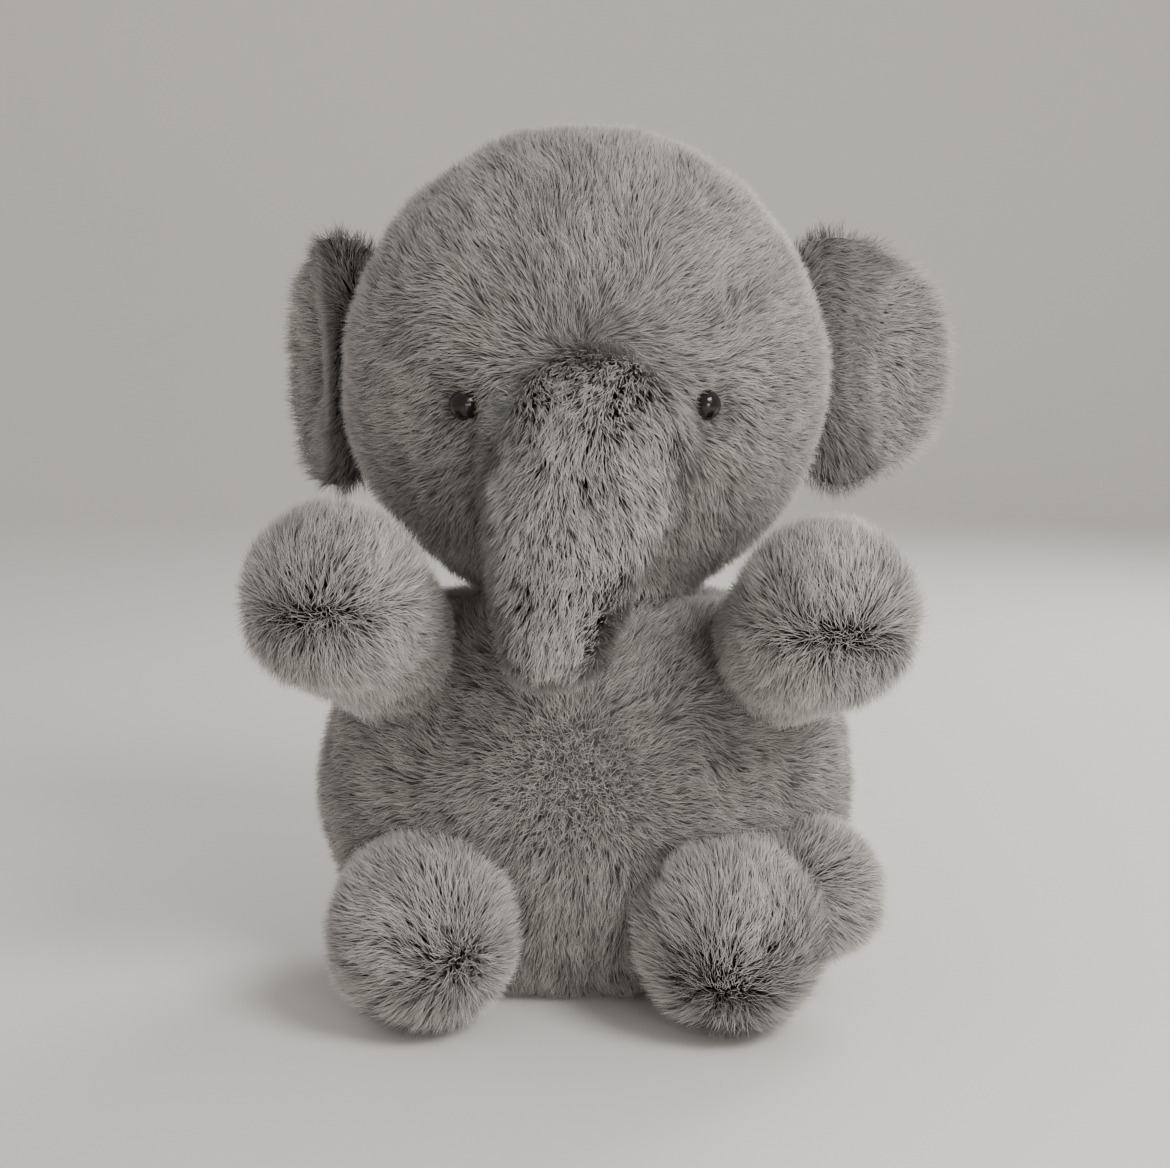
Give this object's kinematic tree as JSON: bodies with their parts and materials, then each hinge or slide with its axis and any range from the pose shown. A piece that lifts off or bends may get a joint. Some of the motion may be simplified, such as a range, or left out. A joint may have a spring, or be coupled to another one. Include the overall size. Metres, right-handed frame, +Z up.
{
  "type": "stuffed elephant",
  "caption": "Sitting plush elephant with a big round head, a thick hanging trunk, side ears, raised paws and splayed stub legs.",
  "frame": {"origin": "middle of the flat seat, on the surface that the toy sits on", "axes": "+Z up, -Y the way the toy faces, +X to the right for someone looking at its face"},
  "size_m": [0.2637, 0.1964, 0.324],
  "materials": {
    "pile_grey": "short pile plush",
    "pile_light": "short pile plush, brushed lighter",
    "wadding": "loose polyester fibre",
    "bag_cloth": "plain woven cotton",
    "pellets": "smooth moulded beads",
    "eye_black": "polished",
    "washer_white": "moulded",
    "thread": "twisted cotton"
  },
  "bodies": {
    "torso": {"body_front_left_panel": "pile_grey", "body_front_right_panel": "pile_grey", "body_back_left_panel": "pile_grey", "body_back_right_panel": "pile_grey", "seat_panel": "pile_grey", "body_wadding": "wadding", "pellet_bag_left": "bag_cloth", "pellet_bag_right": "bag_cloth", "pellets": "pellets", "neck_cord": "thread", "closing_stitches": "thread"},
    "neck": {"neck_wadding": "wadding"},
    "head": {"face_left_panel": "pile_grey", "face_right_panel": "pile_grey", "head_back_left_panel": "pile_grey", "head_back_right_panel": "pile_grey", "chin_panel": "pile_grey", "nape_panel": "pile_grey", "head_wadding": "wadding", "left_eye": "eye_black", "right_eye": "eye_black", "left_eye_washer": "washer_white", "right_eye_washer": "washer_white"},
    "trunk": {"trunk_front_panel": "pile_light", "trunk_back_panel": "pile_light", "trunk_wadding": "wadding"},
    "left_ear": {"left_ear_front_panel": "pile_grey", "left_ear_back_panel": "pile_grey", "left_ear_wadding": "wadding"},
    "right_ear": {"right_ear_front_panel": "pile_grey", "right_ear_back_panel": "pile_grey", "right_ear_wadding": "wadding"},
    "left_arm": {"left_arm_upper_panel": "pile_light", "left_arm_lower_panel": "pile_light", "left_arm_wadding": "wadding"},
    "right_arm": {"right_arm_upper_panel": "pile_light", "right_arm_lower_panel": "pile_light", "right_arm_wadding": "wadding"},
    "left_leg": {"left_leg_upper_panel": "pile_light", "left_leg_lower_panel": "pile_light", "left_leg_wadding": "wadding"},
    "right_leg": {"right_leg_upper_panel": "pile_light", "right_leg_lower_panel": "pile_light", "right_leg_wadding": "wadding", "right_thigh_upper_panel": "pile_light", "right_thigh_lower_panel": "pile_light", "right_thigh_wadding": "wadding"},
    "tail": {"tail_left_panel": "pile_grey", "tail_right_panel": "pile_grey", "tail_wadding": "wadding"}
  },
  "joints": [
    {"name": "neck_turn", "type": "hinge", "parent": "torso", "child": "neck", "pos_m": [0, 0, 0.148], "axis": [0, 0, 1], "range_deg": [-8, 8], "stiffness_Nm_per_rad": 1.5},
    {"name": "head_nod", "type": "hinge", "parent": "neck", "child": "head", "pos_m": [0, 0, 0.148], "axis": [1, 0, 0], "range_deg": [-7, 5], "stiffness_Nm_per_rad": 2},
    {"name": "trunk_lift", "type": "hinge", "parent": "head", "child": "trunk", "pos_m": [0.002, -0.066, 0.209], "axis": [-1, 0, 0], "range_deg": [0, 35], "stiffness_Nm_per_rad": 0.15},
    {"name": "left_ear_flap", "type": "hinge", "parent": "head", "child": "left_ear", "pos_m": [-0.0962, 0.015, 0.236], "axis": [0, 0, 1], "range_deg": [-6, 40], "stiffness_Nm_per_rad": 0.06},
    {"name": "right_ear_flap", "type": "hinge", "parent": "head", "child": "right_ear", "pos_m": [0.0962, 0.015, 0.236], "axis": [0, 0, -1], "range_deg": [-30, 25], "stiffness_Nm_per_rad": 0.06},
    {"name": "left_arm_swing", "type": "hinge", "parent": "torso", "child": "left_arm", "pos_m": [-0.06581, -0.01561, 0.12206], "axis": [-1, 0, 0], "range_deg": [-16, 8], "stiffness_Nm_per_rad": 0.6},
    {"name": "right_arm_swing", "type": "hinge", "parent": "torso", "child": "right_arm", "pos_m": [0.06581, -0.01561, 0.12206], "axis": [-1, 0, 0], "range_deg": [-16, 8], "stiffness_Nm_per_rad": 0.6},
    {"name": "left_leg_lift", "type": "hinge", "parent": "torso", "child": "left_leg", "pos_m": [-0.06, -0.036, 0.037], "axis": [-1, 0, 0], "range_deg": [0, 12], "stiffness_Nm_per_rad": 0.3},
    {"name": "right_leg_lift", "type": "hinge", "parent": "torso", "child": "right_leg", "pos_m": [0.054, -0.04, 0.037], "axis": [-1, 0, 0], "range_deg": [0, 12], "stiffness_Nm_per_rad": 0.3},
    {"name": "tail_lift", "type": "hinge", "parent": "torso", "child": "tail", "pos_m": [0, 0.06488, 0.06282], "axis": [1, 0, 0], "range_deg": [0, 20], "stiffness_Nm_per_rad": 0.03}
  ]
}
